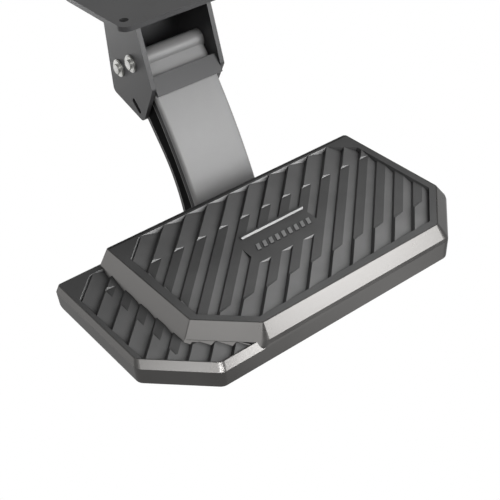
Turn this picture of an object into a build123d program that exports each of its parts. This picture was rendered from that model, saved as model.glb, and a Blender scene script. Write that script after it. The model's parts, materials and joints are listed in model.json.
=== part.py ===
# Retractable truck step: a two-tier cast step on a pair of curved swing arms,
# which hang from a bracket bolted under the vehicle's frame.
# Millimetres, X along the step, -Y outboard, +Z up.
# The origin is the middle of the bracket's bolting face.
import os
from math import asin, atan2, cos, degrees, radians, sin

from build123d import *

# Bracket that is bolted to the vehicle's frame
flange_width = 160.0        # along X
flange_depth = 140.0        # along Y
plate = 6.0                 # thickness of the bracket's and the carrier's steel
bolt_spacing_x = 132.0
bolt_spacing_y = 100.0
bolt_hole = 11.0            # diameter
rear_web_y = 17.5           # front face of the bracket's rear web
web_bottom = -125.0         # lower edge of the cheeks at the rear web
tongue_y = -37.0            # end of the slotted tongue under each cheek
tongue_z = -133.0
tongue_radius = 8.0

# Swing arms and their pivots
top_pivot_y = -30.0
top_pivot_z = -66.5
lean = 53.5                 # slope of the link's straight upper part, degrees
straight_run = 110.0        # from its top pivot down to the bend
bend_radius = 200.0         # of the rear link's middle line
bend_turn = 30.5            # degrees that the link turns towards the vertical
arm_bow = 8.0               # how far the front arm bows out of a straight line
link_spacing = 35.0         # between the two arms' pivots
link_drop = 29.0            # slope of the line between the pivots, degrees
arm_width = 92.0
arm_depth = 15.0
arm_wall = 5.0
arm_edge = 4.0              # rounding of the pressed arm's front edges
link_depth = 5.0
eye_radius = 12.0
swing_angle = 38.0

# Pins, bushes and running clearances
pin_radius = 6.0
pin_head_radius = 9.5
pin_head = 4.0
bush_wall = 1.5
bush_stand = 1.2            # the bushes stand out of the arms by this much
fit = 0.05                  # radial clearance of every pin and bush
side_play = 0.2             # between a bush's end and the cheek
ring_radius = 10.0
ring_thickness = 1.2
stop_gap = 0.3

# Step: a low tier at the left and front left, a high tier over the rest
pad_length = 440.0
pad_depth = 226.0
pad_arm_x = 266.0           # the arms' middle, from the step's left end
pad_back_gap = 38.0         # from the step's back to the lower front pivot
pad_rise = 18.5             # of the step's bottom over the lower front pivot
corner_cut = 62.0
low_skirt = 20.0
low_top = 26.3
high_skirt = 25.2
high_top = 42.8
low_bevel_side = 4.0
low_bevel_front = 7.4
low_bevel_corner = 11.0     # measured along X or Y
high_left = 69.6            # left edge of the high tier's top
riser_run = 11.2            # how far the riser slopes outward
high_bevel_front = 11.1
high_bevel_right = 13.5
high_left_corner = 133.9    # x + y on the high tier's left front corner cut
high_right_cut = 79.0       # its right front corner cut, along X
draft = 1.0                 # the skirt's lean over its height
back_round = 11.0           # of the skirt's lower edge at the back
bevel_blend = 2.2           # the high skirt's turn into its bevel, up and down
back_corner_round = 4.0     # of upright corners, seen from above
left_corner_round = 11.0
right_corner_round = 14.0
riser_round = 12.0          # of the riser's front corner at its foot
top_left_round = 2.0
top_right_round = 7.0
casting_wall = 3.5
deck = 4.0
rim = 1.2                   # casting left standing round each tread
tread_fit = 0.2

# Treads
high_tread = 6.0
low_tread = 5.0
groove_pitch = 30.8         # along X
groove_depth = 3.8
groove_side = 3.8           # plan width of the steep side of a groove
field_depth = 1.8           # the middle field lies this much lower
border_left = 10.4          # flat border of the high tread, outside its grooves
border_front = 10.2
border_right = 9.5
border_back = 6.5
border_corner = 27.0        # of the grooves' outline at the back right, along X
middle_front = 52.5         # where the middle field starts, from the step's front
middle_back = 52.8          # and where it ends, from the step's back
middle_ramp = 4.0           # slope at the middle field's front
high_phase = -14.2          # x - y of one groove's ridge
low_phase = -18.3

# Under side
rib = 2.6
rib_pitch = 50.0
rib_lift = 3.0              # ribs stop this far above the skirt's edge
boss_radius = 9.0
bolt_radius = 4.0
bolt_head_radius = 7.2
bolt_head = 5.5
washer_radius = 9.0
washer = 1.6
carrier_front = 112.0       # front edge of the carrier, from the step's front
carrier_bolt_x = 31.0
carrier_bolt_near = 130.0
carrier_bolt_far = 196.0
screw_radius = 2.0
screw_head_radius = 4.6     # across the corners
screw_head = 2.6
screw_bite = 0.8            # of the screws into the treads over the deck
stub = 8.0                  # width of the treads' square stubs
stub_short = 0.3            # the stubs end this far inside the deck's underside
bolt_grip = 16.0            # of the carrier's bolts in the step's bosses

# Stops, tongue slot and the pivot with play
stop_run = 38.0             # down the front arm from the top pivot, along its chord
stop_length = 24.0
stop_offset = 13.5          # the stop bar's face in front of the arm's middle line
stop_bar = 5.0
stop_width = 60.0
inner_stop_z = -113.0
inner_stop_height = 20.0
ring_seat_radius = 5.2
tongue_slot = (-29.0, -124.5)
slot_length = 14.0
slot_width = 7.0
slot_slope = 45.0
open_pivot_gap = 0.45

os.makedirs("parts", exist_ok=True)

# The link's middle line, drawn from the arm's top pivot
along = (-cos(radians(lean)), -sin(radians(lean)))
forward = (-sin(radians(lean)), cos(radians(lean)))
bend_start = (
    top_pivot_y + straight_run * along[0],
    top_pivot_z + straight_run * along[1],
)
bend_centre = (
    bend_start[0] - bend_radius * forward[0],
    bend_start[1] - bend_radius * forward[1],
)


def on_bend(turn, offset):
    """Point at a turn of the bend, an offset in front of the middle line."""
    angle = radians(lean + turn)
    reach = bend_radius + offset
    return (bend_centre[0] - reach * sin(angle), bend_centre[1] + reach * cos(angle))


def on_straight(run, offset):
    """Point down the link's straight part, an offset in front of its middle line."""
    return (
        top_pivot_y + run * along[0] + offset * forward[0],
        top_pivot_z + run * along[1] + offset * forward[1],
    )


top_pivot = (top_pivot_y, top_pivot_z)
low_pivot = on_bend(bend_turn, 0)
link_shift = (
    link_spacing * cos(radians(link_drop)),
    -link_spacing * sin(radians(link_drop)),
)
top_rear_pivot = (top_pivot[0] + link_shift[0], top_pivot[1] + link_shift[1])
low_rear_pivot = (low_pivot[0] + link_shift[0], low_pivot[1] + link_shift[1])

# The front arm's middle line, one long arc between its pivots
arm_reach = (low_pivot[0] - top_pivot[0], low_pivot[1] - top_pivot[1])
arm_chord = (arm_reach[0] ** 2 + arm_reach[1] ** 2) ** 0.5
arm_slope = degrees(atan2(-arm_reach[1], -arm_reach[0]))
arm_radius = arm_chord ** 2 / (8 * arm_bow) + arm_bow / 2
arm_turn = 2 * degrees(asin(arm_chord / 2 / arm_radius))
arm_start = arm_slope - arm_turn / 2
arm_centre = (
    top_pivot[0] + arm_radius * sin(radians(arm_start)),
    top_pivot[1] - arm_radius * cos(radians(arm_start)),
)


def on_arm(share, offset):
    """Point at a share of the front arm's length, an offset in front of its middle line."""
    angle = radians(arm_start + share * arm_turn)
    reach = arm_radius + offset
    return (arm_centre[0] - reach * sin(angle), arm_centre[1] + reach * cos(angle))


stop_share = stop_run / arm_chord
stop_slope = arm_start + stop_share * arm_turn
half_arm = arm_width / 2
cheek_inside = half_arm + bush_stand + side_play
cheek_outside = cheek_inside + plate
bush_radius = pin_radius + fit + bush_wall
bore_radius = bush_radius + fit

# The step's own corner, from which its plan is measured
pad_left = -pad_arm_x
pad_back = low_pivot[0] - pad_back_gap
pad_front = pad_back - pad_depth
pad_bottom = low_pivot[1] + pad_rise


def at(x, y):
    """A place on the step's plan, measured from its left front corner."""
    return (pad_left + x, pad_front + y)


def level(z):
    """The horizontal plane at a height over the step's lower edge."""
    return Plane.XY.offset(pad_bottom + z)


def hexagon(left, front, right, back, left_cut, right_cut):
    """Outline with both front corners cut at 45 degrees.

    left_cut is x + y on the left cut, and right_cut is x - y on the right one.
    """
    return [
        (left, back),
        (left, left_cut - left),
        (left_cut - front, front),
        (right_cut + front, front),
        (right, right - right_cut),
        (right, back),
    ]


def plan_face(points, rounds=None):
    """Closed face in the current sketch, through places on the step's plan.

    rounds gives the radius of each corner, and without it the corners are sharp.
    """
    places = [at(x, y) for x, y in points]
    if rounds is None:
        Polygon(*places, align=None)
        return
    with BuildLine() as outline:
        FilletPolyline(*places, radius=rounds, close=True)
    make_face(outline.line.edges())


# Plan of the step at each height
outer_cut = corner_cut
outer_right_cut = pad_length - corner_cut
diagonal = 2 ** 0.5
riser_slope = riser_run / (high_top - low_top)
low_floor = low_top - low_tread
high_floor = high_top - high_tread
low_ceiling = low_floor - deck
high_ceiling = high_floor - deck
high_right = pad_length - high_bevel_right
high_right_corner = pad_length - high_right_cut
low_cut = corner_cut + low_bevel_corner
riser_wall = casting_wall * (1 + riser_slope ** 2) ** 0.5
skirt_rounds = [
    back_corner_round, left_corner_round, left_corner_round,
    right_corner_round, right_corner_round, back_corner_round,
]
foot_rounds = [
    top_left_round, top_left_round, riser_round,
    right_corner_round, right_corner_round, back_corner_round,
]
top_rounds = [
    top_left_round, top_left_round, top_left_round,
    top_right_round, top_right_round, back_corner_round,
]
seat_rounds = [
    top_left_round, top_left_round, top_left_round,
    top_right_round - rim, top_right_round - rim, back_corner_round - rim,
]


def skirt_plan(inset):
    return hexagon(
        inset, inset, pad_length - inset, pad_depth - inset,
        outer_cut + inset * diagonal, outer_right_cut - inset * diagonal,
    )


def high_plan(z, front, right, back, right_cut, wall=0):
    """Plan of the high tier at a height, with its riser sloping outward."""
    out = riser_slope * (high_top - z) - wall
    left_cut = high_left_corner - out * diagonal
    return hexagon(high_left - out, front, right, back, left_cut, right_cut)


def bevel_plan(z):
    """Plan of the high tier at a height within its front and right bevels."""
    share = (z - high_skirt) / (high_top - high_skirt)
    return high_plan(
        z, high_bevel_front * share, pad_length - high_bevel_right * share, pad_depth,
        outer_right_cut + (high_right_corner - outer_right_cut) * share,
    )


def high_outline(inset):
    """Outline of the high tread's seat, an inset inside the tier's top edge."""
    return hexagon(
        high_left + inset, high_bevel_front + inset, high_right - inset, pad_depth - inset,
        high_left_corner + inset * diagonal, high_right_corner - inset * diagonal,
    )


def low_outline(inset, riser_gap):
    """Outline of the low tread's seat, between the outer bevel and the riser.

    riser_gap is how far the seat ends short of the riser's foot.
    """
    left = low_bevel_side + inset
    front = low_bevel_front + inset
    back = pad_depth - inset
    cut = low_cut + inset * diagonal
    foot = high_left - riser_run - riser_gap
    foot_cut = high_left_corner - (riser_run + riser_gap) * diagonal
    return [
        (left, back),
        (left, cut - left),
        (cut - front, front),
        (foot_cut - front, front),
        (foot, foot_cut - foot),
        (foot, back),
    ]


def low_body_plan(left, front, cut):
    """Plan of the low tier, which ends inside the high tier at its right."""
    right = high_left_corner + riser_run
    return [
        (left, pad_depth), (left, cut - left), (cut - front, front), (right, front),
        (right, pad_depth),
    ]


def octagon(left, front, right, back, corners):
    """Outline with all corners cut: front left, front right, back right, back left."""
    front_left, front_right, back_right, back_left = corners
    return [
        (left, front_left - left),
        (front_left - front, front),
        (front_right + front, front),
        (right, right - front_right),
        (right, back_right - right),
        (back_right - back, back),
        (back_left + back, back),
        (left, left - back_left),
    ]


def prism(points, low, high, rounds=None):
    """Upright block over an outline on the step's plan."""
    with BuildPart() as block:
        with BuildSketch(level(low)):
            plan_face(points, rounds)
        extrude(amount=high - low)
    return block.part


def taper(low_points, low, high_points, high, low_rounds=None, high_rounds=None):
    """Block with sloping sides between two outlines on the step's plan."""
    with BuildPart() as block:
        with BuildSketch(level(low)):
            plan_face(low_points, low_rounds)
        with BuildSketch(level(high)):
            plan_face(high_points, high_rounds)
        loft(ruled=True)
    return block.part


def sawtooth(top, phase, first, count):
    """Long grooves across a tier at 45 degrees, open at the top.

    Each has a gentle side that falls to the front right and a steep side.
    """
    step = groove_pitch / diagonal
    across = Vector(1, -1, 0)
    along_groove = Vector(1, 1, 0)
    corner = at(0, 0)
    face = Plane(
        origin=(corner[0], corner[1], pad_bottom + top),
        x_dir=across,
        z_dir=along_groove,
    )
    up = 1 if face.y_dir.Z > 0 else -1
    start = phase / diagonal + first * step
    points = [(start, 3 * up)]
    for n in range(count):
        points.append((start + n * step, 0))
        points.append((start + (n + 1) * step - groove_side, -groove_depth * up))
    points.append((start + count * step, 0))
    points.append((start + count * step, 3 * up))
    with BuildPart() as cutter:
        with BuildSketch(face):
            Polygon(*points, align=None)
        extrude(amount=pad_length * diagonal, both=True)
    return cutter.part


# Fields of the treads, on the step's plan: the edges of what the grooves cross,
# at the tread's top and at the bottom of the grooves, where some walls slope
steep = 0.6                 # run of a steep wall over the grooves' depth
field_left = high_left + border_left
field_front = high_bevel_front + border_front
field_right = high_right - border_right
field_back = pad_depth - border_back
field_left_cut = high_left_corner + 13.1
field_right_cut = high_right_corner - 13.0
field_back_cut = field_right + field_back - border_corner
field_corner_shift = groove_depth * diagonal
high_field_edges = octagon(
    field_left, field_front, field_right, field_back,
    (field_left_cut, field_right_cut, field_back_cut, -111),
)
high_field_floor = octagon(
    field_left + steep, field_front + steep, field_right - groove_depth,
    field_back - groove_depth,
    (
        field_left_cut + 0.8, field_right_cut - 0.8, field_back_cut - field_corner_shift,
        -111 + field_corner_shift,
    ),
)
middle_left = field_left + 1.5
middle_end = pad_depth - middle_back
high_middle_edges = [
    (middle_left, middle_front), (middle_left, middle_end),
    (pad_length, middle_end), (pad_length, middle_front),
]
high_middle_floor = [
    (middle_left, middle_front + middle_ramp), (middle_left, middle_end - field_depth),
    (pad_length, middle_end - field_depth), (pad_length, middle_front + middle_ramp),
]
low_field_edges = [
    (10, 187.5), (39.5, 217), (59.5, 217), (59.5, 58), (99, 18.5), (113, 1.5), (60.5, 1.5),
    (10, 52),
]
low_field_floor = [
    (10.6, 182.7), (41.1, 213.2), (59.5, 213.2), (59.5, 58), (99, 18.5), (113, 1.5),
    (60.5, 1.5), (10.6, 51.4),
]
low_middle_edges = [(39, 48), (39, 185), (70, 185), (70, 48)]
low_middle_floor = [(39.6, 48.6), (39.6, 183.2), (70, 183.2), (70, 48.6)]

# Flat panel in the middle of the high tread, with a sloped wall at its back
panel_edges = [
    (193, 140), (181, 127), (179.5, 99.5), (181, 90.5), (268, 90.5), (283, 107), (284, 140),
]
panel_floor = [
    (194.5, 138.2), (183, 126), (181.5, 99.5), (182.5, 90.5), (267.5, 90.5), (281.5, 106.5),
    (282.2, 138.2),
]
panel_rim = 3.0             # left standing behind the panel
panel_front = 92.4          # where the ribs in front slope up to the panel
inlay_thickness = 0.7
inlay_bar = 4.6
inlay_bar_pitch = 9.0
inlay_slant = 4.0           # along X over a bar's length
inlay_left = 195.0
inlay_right = 277.0
inlay_front = 110.5
inlay_back = 120.5

# Places of the fastenings, in the middle of cells between the ribs
cells = [rib_pitch * (n + 0.5) for n in range(8)]
high_screws = [(cells[n], cells[m]) for n in (3, 7) for m in (0, 3)]
low_screws = [(cells[0], cells[1]), (cells[0], cells[3]), (cells[1], cells[0])]
carrier_bolts = [
    (pad_arm_x + side * carrier_bolt_x, y)
    for side in (-1, 1) for y in (carrier_bolt_near, carrier_bolt_far)
]


def plan_circles(places, radius, mode=Mode.ADD):
    """Circles in the current sketch at places on the step's plan."""
    with Locations(*[at(x, y) for x, y in places]):
        Circle(radius, mode=mode)


def plan_squares(places, width):
    """Squares in the current sketch at places on the step's plan."""
    with Locations(*[at(x, y) for x, y in places]):
        Rectangle(width, width)


def cavity_under_step():
    """Space under the step's decks, less the ribs and bosses that cross it."""
    wall = casting_wall
    high_start = low_ceiling - 1
    with BuildPart() as space:
        with BuildSketch(level(0)):
            plan_face(skirt_plan(wall))
        extrude(amount=low_ceiling)
        with BuildSketch(level(high_start)):
            plan_face(high_plan(
                high_start, wall, pad_length - wall, pad_depth - wall,
                outer_right_cut - wall * diagonal, riser_wall,
            ))
        with BuildSketch(level(high_ceiling)):
            plan_face(high_plan(
                high_ceiling, high_bevel_front, high_right, pad_depth - wall,
                high_right_corner, riser_wall,
            ))
        loft(ruled=True)
        for n in range(1, int(pad_length / rib_pitch) + 1):
            with BuildSketch(level(rib_lift)):
                with Locations(at(n * rib_pitch, pad_depth / 2)):
                    Rectangle(rib, pad_depth)
            extrude(amount=high_top, mode=Mode.SUBTRACT)
        for n in range(1, int(pad_depth / rib_pitch) + 1):
            with BuildSketch(level(rib_lift)):
                with Locations(at(pad_length / 2, n * rib_pitch)):
                    Rectangle(pad_length, rib)
            extrude(amount=high_top, mode=Mode.SUBTRACT)
        with BuildSketch(level(0)):
            plan_circles(carrier_bolts, boss_radius)
        extrude(amount=high_top, mode=Mode.SUBTRACT)
    return space.part


def make_step_casting():
    cavity = cavity_under_step()
    high_seat = prism(high_outline(rim), high_floor, high_top + 1, seat_rounds)
    low_seat = taper(
        low_outline(rim, riser_slope * low_tread), low_floor,
        low_outline(rim, -riser_slope), low_top + 1,
    )
    blend_start = high_skirt - bevel_blend
    blend_end = high_skirt + bevel_blend
    high_foot = high_plan(low_skirt, 0, pad_length, pad_depth, outer_right_cut)
    high_wall = high_plan(blend_start, 0, pad_length, pad_depth, outer_right_cut)
    low_rounds = [
        back_corner_round, left_corner_round, left_corner_round, 0, 0,
    ]
    low_body = taper(
        low_body_plan(0, 0, outer_cut), low_skirt,
        low_body_plan(low_bevel_side, low_bevel_front, low_cut), low_top,
        low_rounds, low_rounds,
    )
    with BuildPart() as step_casting:
        with BuildSketch(level(0)):
            plan_face(skirt_plan(draft), skirt_rounds)
        with BuildSketch(level(low_skirt)):
            plan_face(skirt_plan(0), skirt_rounds)
        loft(ruled=True)
        with BuildSketch(level(low_skirt)):
            plan_face(high_foot, foot_rounds)
        with BuildSketch(level(blend_start)):
            plan_face(high_wall, foot_rounds)
        loft(ruled=True)
        with BuildSketch(level(blend_start)):
            plan_face(high_wall, foot_rounds)
        with BuildSketch(level(blend_end)):
            plan_face(bevel_plan(blend_end), foot_rounds)
        loft(ruled=True)
        with BuildSketch(level(blend_end)):
            plan_face(bevel_plan(blend_end), foot_rounds)
        with BuildSketch(level(high_top)):
            plan_face(bevel_plan(high_top), top_rounds)
        loft(ruled=True)
        add(low_body)
        with BuildSketch(side_plane(pad_left - 1)):
            with Locations((pad_back - back_round / 2 + 1, pad_bottom + back_round / 2 - 1)):
                Rectangle(back_round + 2, back_round + 2)
            with Locations((pad_back - back_round, pad_bottom + back_round)):
                Circle(back_round, mode=Mode.SUBTRACT)
        extrude(amount=pad_length + 2, mode=Mode.SUBTRACT)
        add(cavity, mode=Mode.SUBTRACT)
        add(high_seat, mode=Mode.SUBTRACT)
        add(low_seat, mode=Mode.SUBTRACT)
        with BuildSketch(level(0)):
            plan_circles(carrier_bolts, bolt_radius + fit)
        extrude(amount=bolt_grip + 2, mode=Mode.SUBTRACT)
        with BuildSketch(level(rib_lift)):
            plan_squares(high_screws + low_screws, stub + 2 * tread_fit)
        extrude(amount=high_top, mode=Mode.SUBTRACT)
    step_casting.part.label = "step_casting"
    export_step(step_casting.part, "parts/step_casting.step")


def make_tread(name, blank, floor, screws, cutters):
    """Ribbed tread in its seat, with stubs that reach down through the deck."""
    with BuildPart() as tread:
        add(blank)
        for cutter in cutters:
            add(cutter, mode=Mode.SUBTRACT)
        with BuildSketch(level(floor)):
            plan_squares(screws, stub)
        extrude(amount=-(deck - stub_short))
        with BuildSketch(level(floor - deck)):
            plan_circles(screws, screw_radius + fit)
        extrude(amount=deck + 1, mode=Mode.SUBTRACT)
    tread.part.label = name
    export_step(tread.part, "parts/" + name + ".step")


def panel_outline(front):
    """Outline of the block under the panel, which the grooves leave standing."""
    back = panel_edges[0][1] + panel_rim
    return [
        (panel_floor[0][0], back), panel_floor[0], panel_floor[1], panel_floor[2],
        (panel_floor[3][0], front), (panel_floor[4][0] + 1.5, front), panel_floor[5],
        (panel_floor[6][0], back),
    ]


def make_treads():
    high_teeth = sawtooth(high_top, high_phase, -6, 20)
    low_teeth = sawtooth(low_top, low_phase, -8, 14)
    high_field = taper(high_field_floor, high_top - groove_depth, high_field_edges, high_top)
    low_field = taper(low_field_floor, low_top - groove_depth, low_field_edges, low_top)
    panel = taper(panel_floor, high_top - field_depth, panel_edges, high_top)
    panel_block = taper(
        panel_outline(panel_front + field_depth - groove_depth - 1),
        high_top - groove_depth - 1,
        panel_outline(panel_front + field_depth), high_top,
    )
    with BuildPart() as high_grooves:
        add(high_teeth)
        add(high_field, mode=Mode.INTERSECT)
        add(panel_block, mode=Mode.SUBTRACT)
    with BuildPart() as high_middle:
        add(taper(high_middle_floor, high_top - field_depth, high_middle_edges, high_top))
        add(high_field, mode=Mode.INTERSECT)
        add(panel_block, mode=Mode.SUBTRACT)
    with BuildPart() as low_grooves:
        add(low_teeth)
        add(low_field, mode=Mode.INTERSECT)
    with BuildPart() as low_middle:
        add(taper(low_middle_floor, low_top - field_depth, low_middle_edges, low_top))
        add(low_field, mode=Mode.INTERSECT)
    high_blank = prism(high_outline(rim + tread_fit), high_floor, high_top, seat_rounds)
    low_blank = taper(
        low_outline(rim + tread_fit, riser_slope * low_tread + tread_fit), low_floor,
        low_outline(rim + tread_fit, tread_fit), low_top,
    )
    make_tread(
        "upper_tread", high_blank, high_floor, high_screws,
        [high_grooves.part, high_middle.part, panel],
    )
    make_tread(
        "lower_tread", low_blank, low_floor, low_screws,
        [low_grooves.part, low_middle.part],
    )


def make_grip_inlay():
    """Row of plain slanted rubber bars on the high tread's flat panel."""
    bars = int((inlay_right - inlay_left) / inlay_bar_pitch)
    with BuildPart() as grip_inlay:
        with BuildSketch(level(high_top - field_depth)):
            for n in range(bars):
                left = inlay_left + n * inlay_bar_pitch
                plan_face([
                    (left, inlay_front), (left + inlay_bar, inlay_front),
                    (left + inlay_bar + inlay_slant, inlay_back),
                    (left + inlay_slant, inlay_back),
                ])
        extrude(amount=inlay_thickness)
    grip_inlay.part.label = "grip_inlay"
    export_step(grip_inlay.part, "parts/grip_inlay.step")


def make_tread_screws(name, places, ceiling):
    """Hexagon screws under the deck, driven up into the tread's stubs."""
    with BuildPart() as screws:
        with BuildSketch(level(ceiling)):
            with Locations(*[at(x, y) for x, y in places]):
                RegularPolygon(screw_head_radius, 6)
        extrude(amount=-screw_head)
        with BuildSketch(level(ceiling)):
            plan_circles(places, screw_radius)
        extrude(amount=deck + screw_bite)
    screws.part.label = name
    export_step(screws.part, "parts/" + name + ".step")


def side_plane(x):
    """Vertical plane across the X axis, whose sketches are drawn in Y and Z."""
    return Plane(origin=(x, 0, 0), x_dir=(0, 1, 0), z_dir=(1, 0, 0))


def arm_outline(front, back, start):
    """Outline of the front arm between two offsets from its middle line."""
    half = (start + 1) / 2
    with BuildLine() as outline:
        front_arc = ThreePointArc(on_arm(start, front), on_arm(half, front), on_arm(1, front))
        low_end = Line(front_arc @ 1, on_arm(1, back))
        back_arc = ThreePointArc(low_end @ 1, on_arm(half, back), on_arm(start, back))
        Line(back_arc @ 1, front_arc @ 0)
    return outline.line


def link_outline(front, back):
    """Outline of the rear link between two offsets from its middle line."""
    half = bend_turn / 2
    with BuildLine() as outline:
        front_line = Line(on_straight(0, front), on_straight(straight_run, front))
        front_arc = ThreePointArc(
            front_line @ 1, on_bend(half, front), on_bend(bend_turn, front),
        )
        low_end = Line(front_arc @ 1, on_bend(bend_turn, back))
        back_arc = ThreePointArc(
            low_end @ 1, on_bend(half, back), on_straight(straight_run, back),
        )
        back_line = Line(back_arc @ 1, on_straight(0, back))
        Line(back_line @ 1, front_line @ 0)
    return outline.line.moved(Location((link_shift[0], link_shift[1], 0)))


def make_front_arm():
    """Pressed channel arm with a cross tube welded in at each end."""
    outside = arm_outline(arm_depth / 2, -arm_depth / 2, 0)
    inside = arm_outline(arm_depth / 2 - arm_wall, -arm_depth, -arm_depth / arm_chord)
    chord_normal = Vector(0, -sin(radians(arm_slope)), cos(radians(arm_slope)))
    with BuildPart() as front_arm:
        with BuildSketch(side_plane(-half_arm)):
            make_face(outside.edges())
        extrude(amount=arm_width)
        front_faces = front_arm.faces().filter_by(
            lambda face: face.normal_at().dot(chord_normal) > 0.5
        )
        fillet(front_faces.edges().filter_by(Axis.X, reverse=True), radius=arm_edge)
        with BuildSketch(side_plane(-half_arm + arm_wall)):
            make_face(inside.edges())
        extrude(amount=arm_width - 2 * arm_wall, mode=Mode.SUBTRACT)
        with BuildSketch(side_plane(-half_arm)):
            with Locations(top_pivot, low_pivot):
                Circle(eye_radius)
        extrude(amount=arm_width)
        with BuildSketch(side_plane(-half_arm)):
            with Locations(top_pivot, low_pivot):
                Circle(bore_radius)
        extrude(amount=arm_width, mode=Mode.SUBTRACT)
    front_arm.part.label = "front_arm"
    export_step(front_arm.part, "parts/front_arm.step")


def make_rear_link():
    """Flat curved link behind the front arm, with a cross tube at each end."""
    outside = link_outline(link_depth / 2, -link_depth / 2)
    with BuildPart() as rear_link:
        with BuildSketch(side_plane(-half_arm)):
            make_face(outside.edges())
        extrude(amount=arm_width)
        with BuildSketch(side_plane(-half_arm)):
            with Locations(top_rear_pivot, low_rear_pivot):
                Circle(eye_radius)
        extrude(amount=arm_width)
        with BuildSketch(side_plane(-half_arm)):
            with Locations(top_rear_pivot, low_rear_pivot):
                Circle(bore_radius)
        extrude(amount=arm_width, mode=Mode.SUBTRACT)
    rear_link.part.label = "rear_link"
    export_step(rear_link.part, "parts/rear_link.step")


def make_bushes(name, pivots):
    """Plain sleeves through an arm's cross tubes, standing out a little at both ends."""
    end = half_arm + bush_stand
    with BuildPart() as bushes:
        with BuildSketch(side_plane(-end)):
            with Locations(*pivots):
                Circle(bush_radius)
                Circle(pin_radius + fit, mode=Mode.SUBTRACT)
        extrude(amount=2 * end)
    bushes.part.label = name
    export_step(bushes.part, "parts/" + name + ".step")


def make_pin(name, pivot, open_gap):
    """Headed pin with a groove for its ring, slimmer between the plates if open."""
    tail = cheek_outside + washer + ring_thickness + 2.5
    with BuildPart() as pin:
        with BuildSketch(side_plane(-tail)):
            with Locations(pivot):
                Circle(pin_radius)
        extrude(amount=tail + cheek_outside)
        with BuildSketch(side_plane(cheek_outside)):
            with Locations(pivot):
                Circle(pin_head_radius)
        extrude(amount=pin_head)
        chamfer(pin.faces().sort_by(Axis.X)[-1].edges(), length=1)
        with BuildSketch(side_plane(-cheek_outside - washer)):
            with Locations(pivot):
                Circle(pin_radius)
                Circle(ring_seat_radius, mode=Mode.SUBTRACT)
        extrude(amount=-ring_thickness, mode=Mode.SUBTRACT)
        if open_gap:
            with BuildSketch(side_plane(-cheek_inside)):
                with Locations(pivot):
                    Circle(pin_radius + 1)
                    Circle(pin_radius - open_gap, mode=Mode.SUBTRACT)
            extrude(amount=2 * cheek_inside, mode=Mode.SUBTRACT)
    pin.part.label = name
    export_step(pin.part, "parts/" + name + ".step")


def make_rings(name, pivots):
    """Open snap rings in the pins' grooves."""
    with BuildPart() as rings:
        with BuildSketch(side_plane(-cheek_outside - washer)):
            with Locations(*pivots):
                Circle(ring_radius)
                Circle(ring_seat_radius, mode=Mode.SUBTRACT)
            with Locations(*[(y, z - ring_radius) for y, z in pivots]):
                Rectangle(5, ring_radius * 1.4, mode=Mode.SUBTRACT)
        extrude(amount=-ring_thickness)
    rings.part.label = name
    export_step(rings.part, "parts/" + name + ".step")


def make_pin_washers(name, pivots):
    with BuildPart() as washers:
        with BuildSketch(side_plane(-cheek_outside)):
            with Locations(*pivots):
                Circle(washer_radius + 2)
                Circle(pin_radius + fit, mode=Mode.SUBTRACT)
        extrude(amount=-washer)
    washers.part.label = name
    export_step(washers.part, "parts/" + name + ".step")


def make_mounting_bracket():
    """Welded bracket: bolting flange, two cheeks with slotted tongues, web and stop bar."""
    web_depth = -plate - web_bottom
    with BuildPart() as mounting_bracket:
        with BuildSketch(Plane.XY):
            RectangleRounded(flange_width, flange_depth, 12)
            with GridLocations(bolt_spacing_x, bolt_spacing_y, 2, 2):
                Circle(bolt_hole / 2, mode=Mode.SUBTRACT)
        extrude(amount=-plate)
        for start in (-cheek_outside, cheek_inside):
            with BuildSketch(side_plane(start)):
                with Locations(top_pivot):
                    Circle(20)
                with Locations((tongue_y, tongue_z)):
                    Circle(tongue_radius)
                with Locations((rear_web_y + plate - 8, web_bottom + 8)):
                    Circle(8)
                with Locations(on_arm(stop_share, stop_offset + stop_bar / 2)):
                    Circle(stop_bar)
                with Locations(((rear_web_y + plate - 50) / 2, -plate - 5)):
                    Rectangle(rear_web_y + plate + 50, 10)
                make_hull()
                with Locations(top_pivot, top_rear_pivot):
                    Circle(pin_radius + fit, mode=Mode.SUBTRACT)
                with Locations(tongue_slot):
                    SlotCenterToCenter(slot_length, slot_width, rotation=slot_slope, mode=Mode.SUBTRACT)
            extrude(amount=plate)
        with BuildSketch(side_plane(-cheek_inside)):
            with Locations((rear_web_y + plate / 2, -plate - web_depth / 2)):
                Rectangle(plate, web_depth)
        extrude(amount=2 * cheek_inside)
        with BuildSketch(side_plane(-cheek_inside)):
            with Locations(on_arm(stop_share, stop_offset + stop_bar / 2)):
                Rectangle(stop_length, stop_bar, rotation=stop_slope)
        extrude(amount=2 * cheek_inside)
    mounting_bracket.part.label = "mounting_bracket"
    export_step(mounting_bracket.part, "parts/mounting_bracket.step")


def make_stops():
    """Rubber blocks that the arms meet at the two ends of their travel."""
    near = arm_depth / 2 + stop_gap
    with BuildPart() as outer_stop_bumper:
        with BuildSketch(side_plane(-stop_width / 2)):
            with Locations(on_arm(stop_share, (near + stop_offset) / 2)):
                Rectangle(stop_length - 4, stop_offset - near, rotation=stop_slope)
        extrude(amount=stop_width)
    outer_stop_bumper.part.label = "outer_stop_bumper"
    export_step(outer_stop_bumper.part, "parts/outer_stop_bumper.step")
    past_vertical = radians(lean + swing_angle - 90)
    reach = top_rear_pivot[1] - inner_stop_z + inner_stop_height / 2
    link_face = (link_depth / 2 + reach * sin(past_vertical)) / cos(past_vertical)
    face = top_rear_pivot[0] + link_face + stop_gap
    with BuildPart() as inner_stop_bumper:
        with BuildSketch(side_plane(-stop_width / 2)):
            with Locations(((face + rear_web_y) / 2, inner_stop_z)):
                Rectangle(rear_web_y - face, inner_stop_height)
        extrude(amount=stop_width)
    inner_stop_bumper.part.label = "inner_stop_bumper"
    export_step(inner_stop_bumper.part, "parts/inner_stop_bumper.step")


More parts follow.
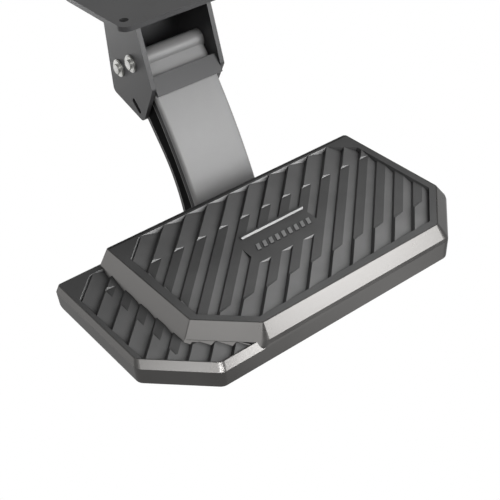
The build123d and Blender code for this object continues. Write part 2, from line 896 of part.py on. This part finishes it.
def make_step_carrier():
    """Plate under the step, with two ears that reach back to the lower pivots."""
    low_plane = pad_bottom - plate
    front = pad_front + carrier_front
    back = low_pivot[0] - eye_radius - 8
    with BuildPart() as step_carrier:
        with BuildSketch(Plane.XY.offset(low_plane)):
            with Locations((0, (front + back) / 2)):
                Rectangle(2 * cheek_outside, back - front)
            plan_circles(carrier_bolts, bolt_radius + 0.4, Mode.SUBTRACT)
        extrude(amount=plate)
        for start in (-cheek_outside, cheek_inside):
            with BuildSketch(side_plane(start)):
                with Locations(low_pivot, low_rear_pivot):
                    Circle(15)
                with Locations((front + 8, low_plane - 8)):
                    Circle(8)
                with Locations(((front + back) / 2, low_plane - 2)):
                    Rectangle(back - front, 4)
                make_hull()
                with Locations(low_pivot, low_rear_pivot):
                    Circle(pin_radius + fit, mode=Mode.SUBTRACT)
            extrude(amount=plate)
    step_carrier.part.label = "step_carrier"
    export_step(step_carrier.part, "parts/step_carrier.step")


def make_carrier_fasteners():
    head_top = pad_bottom - plate - washer
    with BuildPart() as bolts:
        with BuildSketch(Plane.XY.offset(head_top)):
            with Locations(*[at(x, y) for x, y in carrier_bolts]):
                RegularPolygon(bolt_head_radius, 6)
        extrude(amount=-bolt_head)
        with BuildSketch(Plane.XY.offset(head_top)):
            plan_circles(carrier_bolts, bolt_radius)
        extrude(amount=washer + plate + bolt_grip)
    bolts.part.label = "carrier_bolts"
    export_step(bolts.part, "parts/carrier_bolts.step")
    with BuildPart() as washers:
        with BuildSketch(Plane.XY.offset(head_top)):
            plan_circles(carrier_bolts, washer_radius)
            plan_circles(carrier_bolts, bolt_radius + fit, Mode.SUBTRACT)
        extrude(amount=washer)
    washers.part.label = "carrier_washers"
    export_step(washers.part, "parts/carrier_washers.step")


make_treads()
make_step_casting()
make_grip_inlay()
make_tread_screws("upper_tread_screws", high_screws, high_ceiling)
make_tread_screws("lower_tread_screws", low_screws, low_ceiling)
make_front_arm()
make_rear_link()
make_bushes("front_arm_bushes", [top_pivot, low_pivot])
make_bushes("rear_link_bushes", [top_rear_pivot, low_rear_pivot])
make_pin("upper_front_pin", top_pivot, 0)
make_pin("upper_rear_pin", top_rear_pivot, 0)
make_pin("lower_front_pin", low_pivot, 0)
make_pin("lower_rear_pin", low_rear_pivot, open_pivot_gap)
make_rings("upper_pin_rings", [top_pivot, top_rear_pivot])
make_rings("lower_pin_rings", [low_pivot, low_rear_pivot])
make_pin_washers("upper_pin_washers", [top_pivot, top_rear_pivot])
make_pin_washers("lower_pin_washers", [low_pivot, low_rear_pivot])
make_mounting_bracket()
make_stops()
make_step_carrier()
make_carrier_fasteners()
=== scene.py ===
import json
import math

import bmesh
import bpy
from mathutils import Matrix, Vector


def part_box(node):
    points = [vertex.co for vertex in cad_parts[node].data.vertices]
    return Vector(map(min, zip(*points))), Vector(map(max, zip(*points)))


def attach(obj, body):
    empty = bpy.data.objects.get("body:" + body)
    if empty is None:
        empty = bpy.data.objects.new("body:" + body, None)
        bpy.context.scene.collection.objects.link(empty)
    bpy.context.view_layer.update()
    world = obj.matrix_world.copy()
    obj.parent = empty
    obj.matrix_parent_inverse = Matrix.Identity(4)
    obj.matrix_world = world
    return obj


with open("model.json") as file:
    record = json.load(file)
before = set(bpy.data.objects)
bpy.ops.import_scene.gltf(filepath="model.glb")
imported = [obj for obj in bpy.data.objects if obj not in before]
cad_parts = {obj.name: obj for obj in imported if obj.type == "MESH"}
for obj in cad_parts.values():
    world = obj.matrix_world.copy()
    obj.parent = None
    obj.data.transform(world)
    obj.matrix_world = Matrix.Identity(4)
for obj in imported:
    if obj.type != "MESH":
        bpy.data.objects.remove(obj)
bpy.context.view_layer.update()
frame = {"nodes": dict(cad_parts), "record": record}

# Everything is in metres. Places on the step count from its casting's left front low corner
STEP_LOW, STEP_HIGH = (Vector(corner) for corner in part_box("step_casting"))
STEP_MIDDLE = (STEP_LOW + STEP_HIGH) / 2

# Camera, from the same corner
CAMERA_FROM_STEP = Vector((-0.33558, -0.62283, 0.72547))
CAMERA_FORWARD = Vector((0.46129, 0.65144, -0.60236)).normalized()
CAMERA_ROLL = math.radians(-4.26)
CAMERA_LENS = 74.4
CAMERA_SENSOR = 36.0

# Studio: a floor below the step, and a dark room
FLOOR_Z = STEP_LOW.z - 0.55
FLOOR_HALF = 6.0
FLOOR_COLOUR = (0.28, 0.24, 0.22, 1)
FLOOR_ROUGH = 0.9
ROOM_COLOUR = (0.005, 0.005, 0.005, 1)

# Softboxes: name, aim from the step's middle, direction, distance, width, height, watts
FRONT_EDGE = (0.02, -0.11, 0)
SOFTBOXES = (
    ("front_softbox", (0.07, -0.11, 0), (0.46, -0.82, 0.33), 0.65, 0.44, 0.30, 4.9),
    ("front_high_softbox", FRONT_EDGE, (0.46, -0.60, 0.65), 0.65, 0.36, 0.30, 7.0),
    ("corner_softbox", (-0.17, -0.08, 0), (-0.52, -0.33, 0.79), 0.60, 0.25, 0.25, 1.3),
    ("left_softbox", (0, 0, 0), (-0.70, -0.51, 0.50), 1.7, 0.8, 0.8, 6.6),
    ("left_back_softbox", (0, 0, 0), (-0.74, 0.65, 0.18), 1.7, 0.9, 0.7, 4.2),
    ("right_softbox", (0, 0, 0), (0.98, 0.13, 0.12), 1.7, 0.8, 0.8, 3.2),
    ("low_softbox", FRONT_EDGE, (0.46, -0.65, -0.60), 0.60, 0.50, 0.30, 0.6),
    ("back_softbox", (0, 0, 0), (0.15, 1.00, -0.22), 1.7, 1.4, 0.35, 18),
    ("right_back_softbox", (0, 0, 0), (0.80, 0.90, -0.22), 1.7, 1.0, 0.35, 4),
)

# Spots: name, place and aim from the step's middle, cone in degrees, watts
SPOTS = (
    ("front_spot", (0, -0.9, 1.2), (0.04, -0.165, 0), 11, 250),
    ("corner_spot", (-0.5, -0.8, 1.2), (-0.17, -0.11, 0), 9, 160),
)
SPOT_RADIUS = 0.15

# Middle range of a noise, which is spread over a material's two shades
NOISE_LOW = 0.35
NOISE_HIGH = 0.65

# Painted shade in hollows: how far off a wall darkens a face, how open a face stays unshaded,
# and the darkest shade
HOLLOW_SHADE_REACH = 0.009
HOLLOW_SHADE_OPEN = 0.70
HOLLOW_SHADE_DARKEST = 0.20

# Level direction in which the ribs' long faces slope down
RIB_SLOPE = (math.sqrt(0.5), -math.sqrt(0.5), 0)

# Painted light and shade of a tread's faces, from those that face against that direction to
# those along it:
# steep sides painted darkest, then flats, the ribs' long faces, and walls across the ribs
# painted brightest
RIB_PAINTED_SHADES = (
    (0.0, 0.25), (0.16, 0.25), (0.22, 0.52), (0.47, 0.60), (0.53, 0.60),
    (0.565, 1.0), (0.66, 1.0), (0.72, 3.6), (1.0, 3.6),
)

# Front arm and rear link: half their width, and how far trim sinks in and stands proud
HALF_WIDTH = 0.046
TRIM_SUNK = 0.0001
TRIM_PROUD = 0.0002
TRIM_STEPS = 24
SIDES = ((-1, "left"), (1, "right"))

# Rear link's middle line, along Y and Z: straight down from its top pivot, then bent
LINK_TOP = (0.0006117, -0.0834683)
LINK_SLOPE = math.radians(53.5)
LINK_STRAIGHT = 0.110
LINK_BEND = 0.200
LINK_TURN = math.radians(30.5)
LINK_EYE = 0.013
# Lines on each side of the link's middle, between which painted highlights lie
HIGHLIGHT_LINES = ((-0.0025, -0.0016), (0.0016, 0.0025))

# Front arm's middle line, one arc between its pivots, and the strip of painted shade along it
ARM_TOP = Vector((-0.030, -0.0665))
ARM_LOW = Vector((-0.1335635, -0.2529831))
ARM_BOW = 0.008
CHANNEL_SHADE_LINE = (-0.0062, 0.0012)
CHANNEL_SHADE_START = 0.08
CHANNEL_SHADE_SHARE = 0.84

# Wall behind the panel: its foot, its top, and the shares of its length of the strip of painted
# highlight on it
WALL_FOOT = ((0.1945, 0.1382, 0.0410), (0.2822, 0.1382, 0.0410))
WALL_TOP = ((0.2840, 0.1400, 0.0428), (0.1930, 0.1400, 0.0428))
WALL_LIFT = Vector((0, -0.00015, 0.00015))
WALL_SHARES = (0.0, 0.004, 0.02, 0.5, 0.98, 0.996, 1.0)
WALL_END_LIFT = 0.2

# Dark bead of painted shade along the back of the high tier: its places along X, its line, size
# and section
SHADE_LINE_PLACES = (0.0720, 0.0724, 0.0735, 0.2500, 0.4225, 0.4236, 0.4240)
SHADE_LINE_Y = 0.2243
SHADE_LINE_Z = 0.0428
SHADE_LINE_HALF = 0.0017
SHADE_LINE_RISE = 0.0005
SHADE_LINE_END = 0.3
SHADE_LINE_SECTION = ((-1, -0.5), (-1, 0.3), (-0.5, 0.9), (0.5, 0.9), (1, 0.3), (1, -0.5))


def grey(shade):
    return (shade, shade, shade)


def new_material(name):
    """Empty node material and its shader."""
    material = bpy.data.materials.new(name)
    material.use_nodes = True
    shader = material.node_tree.nodes["Principled BSDF"]
    return material, shader


def noise(material, scale, detail=4.0, stretch=(1, 1, 1)):
    """Noise in the object's own metres, stretched along an axis if asked."""
    nodes, links = material.node_tree.nodes, material.node_tree.links
    place = nodes.new("ShaderNodeTexCoord")
    mapping = nodes.new("ShaderNodeMapping")
    mapping.inputs["Scale"].default_value = stretch
    texture = nodes.new("ShaderNodeTexNoise")
    texture.inputs["Scale"].default_value = scale
    texture.inputs["Detail"].default_value = detail
    links.new(place.outputs["Object"], mapping.inputs["Vector"])
    links.new(mapping.outputs["Vector"], texture.inputs["Vector"])
    return texture


def ranged(material, value, start, end, low, high):
    """Map one range of values to another."""
    nodes, links = material.node_tree.nodes, material.node_tree.links
    ramp = nodes.new("ShaderNodeMapRange")
    ramp.inputs["From Min"].default_value = start
    ramp.inputs["From Max"].default_value = end
    ramp.inputs["To Min"].default_value = low
    ramp.inputs["To Max"].default_value = high
    links.new(value, ramp.inputs["Value"])
    return ramp.outputs["Result"]


def roughened(material, shader, source, rough, change):
    """Let the roughness vary with a texture."""
    value = ranged(
        material, source.outputs["Fac"], NOISE_LOW, NOISE_HIGH, rough - change, rough + change,
    )
    material.node_tree.links.new(value, shader.inputs["Roughness"])


def tint(material, source, dark, light):
    """Colour that runs between two shades with a texture."""
    nodes, links = material.node_tree.nodes, material.node_tree.links
    ramp = nodes.new("ShaderNodeValToRGB")
    ends = ramp.color_ramp.elements
    ends[0].position, ends[0].color = NOISE_LOW, (*dark, 1)
    ends[1].position, ends[1].color = NOISE_HIGH, (*light, 1)
    links.new(source.outputs["Fac"], ramp.inputs["Fac"])
    return ramp.outputs["Color"]


def bumped(material, shader, source, strength, distance):
    """Give the shader a bump from a texture."""
    nodes, links = material.node_tree.nodes, material.node_tree.links
    bump = nodes.new("ShaderNodeBump")
    bump.inputs["Strength"].default_value = strength
    bump.inputs["Distance"].default_value = distance
    links.new(source.outputs["Fac"], bump.inputs["Height"])
    links.new(bump.outputs["Normal"], shader.inputs["Normal"])


def shaded_in_hollows(material, colour):
    """Paint shade into a colour in grooves and against walls."""
    nodes, links = material.node_tree.nodes, material.node_tree.links
    hollow = nodes.new("ShaderNodeAmbientOcclusion")
    hollow.samples = 12
    hollow.inputs["Distance"].default_value = HOLLOW_SHADE_REACH
    shade = ranged(material, hollow.outputs["AO"], HOLLOW_SHADE_OPEN, 1.0, HOLLOW_SHADE_DARKEST, 1.0)
    mix = nodes.new("ShaderNodeVectorMath")
    mix.operation = "SCALE"
    links.new(colour, mix.inputs[0])
    links.new(shade, mix.inputs["Scale"])
    return mix.outputs["Vector"]


def shaded_by_facing(material, colour):
    """Paint light and shade into a tread's colour by the way its faces face."""
    nodes, links = material.node_tree.nodes, material.node_tree.links
    place = nodes.new("ShaderNodeTexCoord")
    facing = nodes.new("ShaderNodeVectorMath")
    facing.operation = "DOT_PRODUCT"
    facing.inputs[1].default_value = RIB_SLOPE
    links.new(place.outputs["Normal"], facing.inputs[0])
    shades = nodes.new("ShaderNodeValToRGB")
    steps = shades.color_ramp.elements
    first, *middle, last = RIB_PAINTED_SHADES
    steps[0].position, steps[0].color = first[0], (*grey(first[1]), 1)
    steps[1].position, steps[1].color = last[0], (*grey(last[1]), 1)
    for position, shade in middle:
        steps.new(position).color = (*grey(shade), 1)
    half = ranged(material, facing.outputs["Value"], -1.0, 1.0, 0.0, 1.0)
    links.new(half, shades.inputs["Fac"])
    mix = nodes.new("ShaderNodeVectorMath")
    mix.operation = "MULTIPLY"
    links.new(colour, mix.inputs[0])
    links.new(shades.outputs["Color"], mix.inputs[1])
    return mix.outputs["Vector"]


def coated_metal(name, dark, light, rough, gloss=0.3):
    """Powder coat: a fine orange peel with faint cloudiness."""
    material, shader = new_material(name)
    cloud = noise(material, 14.0)
    peel = noise(material, 900.0, 3.0)
    colour = tint(material, cloud, dark, light)
    material.node_tree.links.new(colour, shader.inputs["Base Color"])
    roughened(material, shader, cloud, rough, 0.03)
    bumped(material, shader, peel, 0.12, 0.0002)
    shader.inputs["Specular IOR Level"].default_value = gloss
    return material


def metallic_coat(name, dark, light, rough, edge_tint):
    """Satin coat with metal flakes: dark face on, and not much brighter edge on."""
    material = coated_metal(name, dark, light, rough, gloss=0.5)
    shader = material.node_tree.nodes["Principled BSDF"]
    shader.inputs["Metallic"].default_value = 1.0
    shader.inputs["Specular Tint"].default_value = (*grey(edge_tint), 1)
    return material


def moulded(name, dark, light, rough, paint_facing_light=False):
    """Moulded plastic or rubber with a fine grain, painted shade in its hollows, and on treads
    painted light and shade by the way faces face.
    """
    material, shader = new_material(name)
    cloud = noise(material, 22.0)
    pits = noise(material, 1400.0, 2.0)
    colour = tint(material, cloud, dark, light)
    # Treads: light and shade painted into the colour by the way each face faces
    if paint_facing_light:
        colour = shaded_by_facing(material, colour)
    # Shade painted into the colour in hollows, on every moulded finish
    colour = shaded_in_hollows(material, colour)
    material.node_tree.links.new(colour, shader.inputs["Base Color"])
    roughened(material, shader, cloud, rough, 0.04)
    bumped(material, shader, pits, 0.15, 0.0001)
    shader.inputs["Specular IOR Level"].default_value = 0.11
    return material


def plated(name, dark, light, rough):
    """Plated or sintered metal with fine turning marks and spots."""
    material, shader = new_material(name)
    marks = noise(material, 500.0, 3.0, (4, 1, 1))
    spots = noise(material, 120.0)
    shader.inputs["Metallic"].default_value = 1.0
    colour = tint(material, spots, dark, light)
    material.node_tree.links.new(colour, shader.inputs["Base Color"])
    roughened(material, shader, marks, rough, 0.06)
    bumped(material, shader, marks, 0.1, 0.0001)
    return material


# Finishes by the record's slot, and by node where one differs from its slot
MATERIALS = {
    "step_casting": metallic_coat(
        "step_coat", (0.060, 0.0585, 0.057), (0.068, 0.0665, 0.065), 0.30, edge_tint=0.68,
    ),
    # The tread's colour carries painted light and shade by facing, and painted shade in its
    # hollows
    "tread_plastic": moulded("tread_graphite", grey(0.053), grey(0.064), 0.40, paint_facing_light=True),
    "arm_steel": coated_metal("arm_coat", grey(0.125), grey(0.140), 0.50, gloss=0.4),
    "rear_link": coated_metal("link_coat", grey(0.012), grey(0.017), 0.40),
    "bracket_steel": coated_metal(
        "bracket_coat", (0.020, 0.020, 0.021), (0.027, 0.027, 0.028), 0.45,
    ),
    "zinc_steel": plated("zinc", (0.36, 0.36, 0.35), (0.48, 0.48, 0.46), 0.34),
    "bush_bronze": plated("bronze", (0.30, 0.19, 0.08), (0.42, 0.28, 0.13), 0.40),
    "stop_rubber": moulded("stop_black", grey(0.012), grey(0.020), 0.62),
    # The inlay's grey is lighter than its own near-black: painted highlight that stands for
    # glints on the bars' edges
    "inlay_rubber": moulded("inlay_black", grey(0.10), grey(0.13), 0.40),
}

# Strips laid on the step and the arms: painted highlight along bright edges and walls, painted
# shade along dark lines and hollows
TRIMS = {
    "rim": coated_metal("rim_coat", grey(0.13), grey(0.17), 0.34),
    "shade_strip": moulded("shade_black", grey(0.008), grey(0.012), 0.55),
}


def dress_frame():
    """Give each CAD node its finish."""
    for part in frame["record"]["subparts"]:
        finish = MATERIALS.get(part["node"]) or MATERIALS[part["material_slot"]]
        for place in frame["nodes"][part["node"]].material_slots:
            place.material = finish


def add_camera():
    """Camera at the photograph's viewing angle."""
    data = bpy.data.cameras.new("camera")
    data.lens = CAMERA_LENS
    data.sensor_width = CAMERA_SENSOR
    camera = bpy.data.objects.new("camera", data)
    bpy.context.scene.collection.objects.link(camera)
    right = CAMERA_FORWARD.cross(Vector((0, 0, 1))).normalized()
    up = right.cross(CAMERA_FORWARD)
    turned_right = right * math.cos(CAMERA_ROLL) + up * math.sin(CAMERA_ROLL)
    turned_up = up * math.cos(CAMERA_ROLL) - right * math.sin(CAMERA_ROLL)
    turn = Matrix((turned_right, turned_up, -CAMERA_FORWARD)).transposed()
    camera.matrix_world = Matrix.Translation(STEP_LOW + CAMERA_FROM_STEP) @ turn.to_4x4()
    bpy.context.scene.camera = camera


def add_light(data, place, way):
    """Put a light at a place, with its back to a direction."""
    light = bpy.data.objects.new(data.name, data)
    light.location = place
    light.rotation_euler = way.to_track_quat("Z", "Y").to_euler()
    bpy.context.scene.collection.objects.link(light)


def add_softbox(name, aim, direction, distance, width, height, power):
    """Large rectangular light that faces its aim from a direction."""
    data = bpy.data.lights.new(name, "AREA")
    data.shape = "RECTANGLE"
    data.size = width
    data.size_y = height
    data.energy = power
    way = Vector(direction).normalized()
    add_light(data, STEP_MIDDLE + Vector(aim) + way * distance, way)


def add_spot(name, place, aim, cone, power):
    """Round soft light that falls on one part of the step and fades outwards."""
    data = bpy.data.lights.new(name, "SPOT")
    data.energy = power
    data.spot_size = math.radians(cone)
    data.spot_blend = 1.0
    data.shadow_soft_size = SPOT_RADIUS
    add_light(data, STEP_MIDDLE + Vector(place), Vector(place) - Vector(aim))


def white_when_seen(tree, plain, kind, end):
    """White where the camera looks, straight or in a reflection, and plain otherwise."""
    nodes, links = tree.nodes, tree.links
    seen = nodes.new("ShaderNodeLightPath")
    fac = seen.outputs["Is Camera Ray"]
    for name in ("Is Glossy Ray", "Is Transmission Ray"):
        either = nodes.new("ShaderNodeMath")
        either.operation = "MAXIMUM"
        links.new(fac, either.inputs[0])
        links.new(seen.outputs[name], either.inputs[1])
        fac = either.outputs["Value"]
    white = nodes.new(kind)
    white.inputs["Color"].default_value = (1, 1, 1, 1)
    mix = nodes.new("ShaderNodeMixShader")
    links.new(fac, mix.inputs["Fac"])
    links.new(plain, mix.inputs[1])
    links.new(white.outputs[0], mix.inputs[2])
    links.new(mix.outputs["Shader"], end.inputs["Surface"])


def add_floor():
    """Pale floor that keeps the object's shadow."""
    mesh = bpy.data.meshes.new("floor")
    corners = [
        (x * FLOOR_HALF, y * FLOOR_HALF, 0) for x, y in ((-1, -1), (1, -1), (1, 1), (-1, 1))
    ]
    mesh.from_pydata(corners, [], [(0, 1, 2, 3)])
    floor = bpy.data.objects.new("floor", mesh)
    floor.location = (STEP_MIDDLE.x, STEP_MIDDLE.y, FLOOR_Z)
    bpy.context.scene.collection.objects.link(floor)
    paper, shader = new_material("paper")
    shader.inputs["Base Color"].default_value = FLOOR_COLOUR
    shader.inputs["Roughness"].default_value = FLOOR_ROUGH
    end = paper.node_tree.nodes["Material Output"]
    white_when_seen(paper.node_tree, shader.outputs["BSDF"], "ShaderNodeEmission", end)
    mesh.materials.append(paper)


def add_world():
    """Dark room that looks white."""
    world = bpy.data.worlds.new("studio")
    world.use_nodes = True
    bpy.context.scene.world = world
    nodes = world.node_tree.nodes
    room = nodes["Background"]
    room.inputs["Color"].default_value = ROOM_COLOUR
    end = nodes["World Output"]
    white_when_seen(world.node_tree, room.outputs["Background"], "ShaderNodeBackground", end)


def add_piece(name, build, material, body):
    """Finish a mesh that has been built and let it ride on a body."""
    bmesh.ops.recalc_face_normals(build, faces=build.faces)
    mesh = bpy.data.meshes.new(name)
    build.to_mesh(mesh)
    build.free()
    mesh.materials.append(material)
    piece = bpy.data.objects.new(name, mesh)
    bpy.context.scene.collection.objects.link(piece)
    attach(piece, body)


def bar(build, sections):
    """Closed bar through sections of equally many points each."""
    rings = [[build.verts.new(point) for point in section] for section in sections]
    for ring, further in zip(rings, rings[1:]):
        for i in range(len(ring)):
            j = (i + 1) % len(ring)
            build.faces.new((ring[i], ring[j], further[j], further[i]))
    build.faces.new(rings[0])
    build.faces.new(rings[-1])


def side_section(side, near, far):
    """Section of trim on the side of an arm, between two points along Y and Z."""
    inside, outside = side * (HALF_WIDTH - TRIM_SUNK), side * (HALF_WIDTH + TRIM_PROUD)
    return [(inside, *near), (outside, *near), (outside, *far), (inside, *far)]


def link_point(run, offset):
    """Point of the rear link's side: down its middle line, and in front of it."""
    turn = max(0.0, run - LINK_STRAIGHT) / LINK_BEND
    slope = LINK_SLOPE + turn
    straight = min(run, LINK_STRAIGHT)
    y = LINK_TOP[0] - straight * math.cos(LINK_SLOPE)
    z = LINK_TOP[1] - straight * math.sin(LINK_SLOPE)
    y += LINK_BEND * (math.sin(LINK_SLOPE) - math.sin(slope))
    z += LINK_BEND * (math.cos(slope) - math.cos(LINK_SLOPE))
    return y - offset * math.sin(slope), z + offset * math.cos(slope)


def add_link_rims():
    """Strips of painted highlight along the sheared sides of the rear link."""
    length = LINK_STRAIGHT + LINK_BEND * LINK_TURN
    for side, name in SIDES:
        build = bmesh.new()
        for low, high in HIGHLIGHT_LINES:
            sections = []
            for step in range(TRIM_STEPS + 1):
                run = LINK_EYE + (length - 2 * LINK_EYE) * step / TRIM_STEPS
                sections.append(side_section(side, link_point(run, low), link_point(run, high)))
            bar(build, sections)
        add_piece("link_rims_" + name, build, TRIMS["rim"], "link")


def arm_point(share, offset):
    """Point of the front arm's side: a share of its length, and in front of its middle."""
    reach = ARM_LOW - ARM_TOP
    radius = reach.length ** 2 / (8 * ARM_BOW) + ARM_BOW / 2
    half_turn = math.asin(reach.length / 2 / radius)
    angle = math.atan2(-reach.y, -reach.x) + (2 * share - 1) * half_turn
    start = angle - 2 * share * half_turn
    centre = ARM_TOP + radius * Vector((math.sin(start), -math.cos(start)))
    distance = radius + offset
    return centre.x - distance * math.sin(angle), centre.y + distance * math.cos(angle)


def add_arm_channel_shade():
    """Dark strips of painted shade inlaid in the front arm's flanges, standing for a shaded
    channel, with the coat showing beside them.
    """
    low, high = CHANNEL_SHADE_LINE
    for side, name in SIDES:
        build = bmesh.new()
        sections = []
        for step in range(TRIM_STEPS + 1):
            share = CHANNEL_SHADE_START + CHANNEL_SHADE_SHARE * step / TRIM_STEPS
            sections.append(side_section(side, arm_point(share, low), arm_point(share, high)))
        bar(build, sections)
        add_piece("arm_channel_shade_" + name, build, TRIMS["shade_strip"], "arm")


def add_panel_wall_highlight():
    """Strip of painted highlight on the wall behind the panel, lower at its ends."""
    build = bmesh.new()
    foot = [STEP_LOW + Vector(point) for point in WALL_FOOT]
    top = [STEP_LOW + Vector(point) for point in WALL_TOP]
    sections = []
    for share in WALL_SHARES:
        near = foot[0].lerp(foot[1], share)
        far = top[1].lerp(top[0], share)
        proud = WALL_LIFT * (WALL_END_LIFT if share in (0.0, 1.0) else 1.0)
        sections.append([near - WALL_LIFT, near + proud, far + proud, far - WALL_LIFT])
    bar(build, sections)
    add_piece("panel_wall_highlight", build, TRIMS["rim"], "step")


def add_back_shade_line():
    """Thin dark bead of painted shade along the back of the high tier, between the tread and
    its rim.
    """
    build = bmesh.new()
    sections = []
    for x in SHADE_LINE_PLACES:
        rise = SHADE_LINE_RISE * (SHADE_LINE_END if x in (SHADE_LINE_PLACES[0], SHADE_LINE_PLACES[-1]) else 1.0)
        sections.append([
            STEP_LOW + Vector((x, SHADE_LINE_Y + SHADE_LINE_HALF * across, SHADE_LINE_Z + rise * up))
            for across, up in SHADE_LINE_SECTION
        ])
    bar(build, sections)
    add_piece("back_shade_line", build, TRIMS["shade_strip"], "step")


bpy.context.scene.view_settings.view_transform = "Standard"
add_camera()
dress_frame()
add_link_rims()
add_arm_channel_shade()
add_panel_wall_highlight()
add_back_shade_line()
for softbox in SOFTBOXES:
    add_softbox(*softbox)
for spot in SPOTS:
    add_spot(*spot)
add_floor()
add_world()
